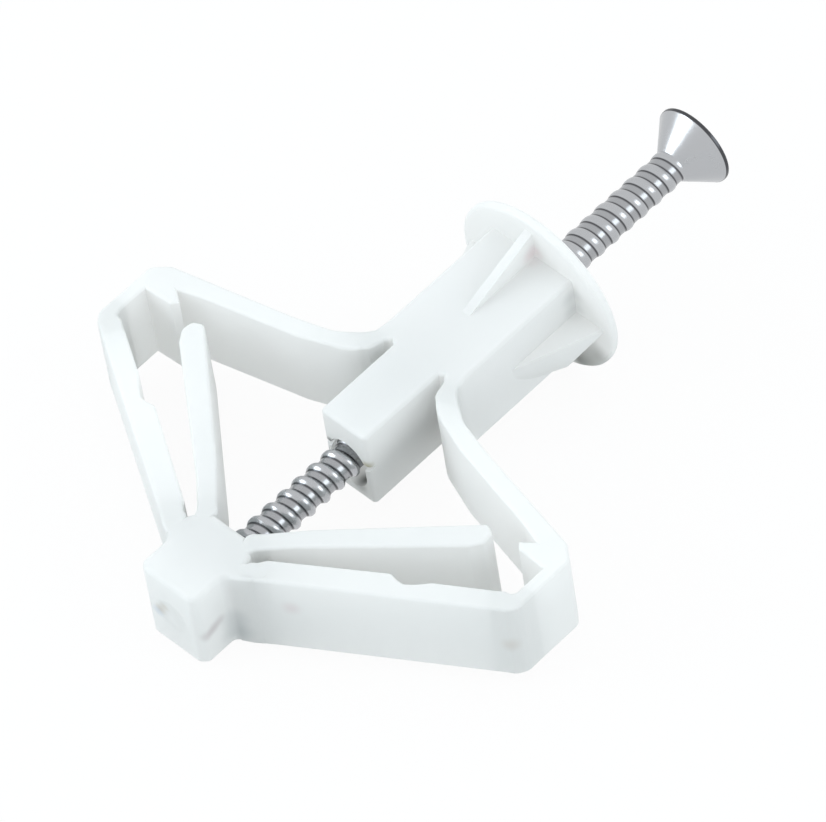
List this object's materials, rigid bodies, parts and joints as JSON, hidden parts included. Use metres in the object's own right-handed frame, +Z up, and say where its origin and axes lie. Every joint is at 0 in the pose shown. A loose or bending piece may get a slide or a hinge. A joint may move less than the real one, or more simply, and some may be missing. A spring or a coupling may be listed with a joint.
{
  "type": "butterfly wall anchor",
  "caption": "Hollow-wall butterfly anchor: moulded plastic sleeve with a round flange and folding spring wings joined by a nose block, with a countersunk steel screw running down its axis.",
  "frame": {"origin": "centre of the bottom of the bounding box, as it lies on a table on the rim of its flange and the lower edge of its nose", "axes": "+X towards the screw's head along the table, +Y towards the left wing, +Z up; the screw axis rises towards the head by 5.3 degrees"},
  "size_m": [0.068, 0.0514, 0.0181],
  "materials": {
    "moulding": "white moulded plastic, semi-matt",
    "steel": "bright zinc plated steel"
  },
  "bodies": {
    "sleeve": {"sleeve": "moulding"},
    "upper_arm_left": {"upper_arm_left": "moulding"},
    "upper_arm_right": {"upper_arm_right": "moulding"},
    "lower_arm_left": {"lower_arm_left": "moulding"},
    "lower_arm_right": {"lower_arm_right": "moulding"},
    "strut_left": {"strut_left": "moulding"},
    "strut_right": {"strut_right": "moulding"},
    "nose": {"nose": "moulding"},
    "screw": {"screw": "steel"}
  },
  "joints": [
    {"name": "wing_fold_left", "type": "hinge", "parent": "sleeve", "child": "upper_arm_left", "pos_m": [-0.00342, 0.00495, 0.0075], "axis": [-0.0929, 0, 0.9957], "range_deg": [-7, 45], "stiffness_Nm_per_rad": 0.02},
    {"name": "wing_fold_right", "type": "hinge", "parent": "sleeve", "child": "upper_arm_right", "pos_m": [-0.00342, -0.00495, 0.0075], "axis": [-0.0929, 0, 0.9957], "range_deg": [-45, 7]},
    {"name": "elbow_left", "type": "hinge", "parent": "upper_arm_left", "child": "lower_arm_left", "pos_m": [-0.01562, 0.025, 0.00637], "axis": [-0.0929, 0, 0.9957], "range_deg": [-90, 14]},
    {"name": "elbow_right", "type": "hinge", "parent": "upper_arm_right", "child": "lower_arm_right", "pos_m": [-0.01562, -0.025, 0.00637], "axis": [-0.0929, 0, 0.9957], "range_deg": [-14, 90]},
    {"name": "nose_hinge", "type": "hinge", "parent": "lower_arm_left", "child": "nose", "pos_m": [-0.02782, 0.00495, 0.00523], "axis": [-0.0929, 0, 0.9957], "range_deg": [-7, 45]},
    {"name": "strut_fold_left", "type": "hinge", "parent": "nose", "child": "strut_left", "pos_m": [-0.02548, 0.00285, 0.00545], "axis": [-0.0929, 0, 0.9957], "range_deg": [-38.25, 5.95]},
    {"name": "strut_fold_right", "type": "hinge", "parent": "nose", "child": "strut_right", "pos_m": [-0.02548, -0.00285, 0.00545], "axis": [-0.0929, 0, 0.9957], "range_deg": [-5.95, 38.25]},
    {"name": "screw_travel", "type": "slide", "parent": "sleeve", "child": "screw", "axis": [0.9957, 0, 0.0929], "range_m": [-0.01988, 0.06]}
  ],
  "couplings": [
    {"joint": "wing_fold_right", "follows": "wing_fold_left", "ratio": -1},
    {"joint": "elbow_left", "follows": "wing_fold_left", "ratio": -2},
    {"joint": "elbow_right", "follows": "wing_fold_left", "ratio": 2},
    {"joint": "nose_hinge", "follows": "wing_fold_left", "ratio": 1},
    {"joint": "strut_fold_left", "follows": "wing_fold_left", "ratio": -0.85},
    {"joint": "strut_fold_right", "follows": "wing_fold_left", "ratio": 0.85}
  ]
}
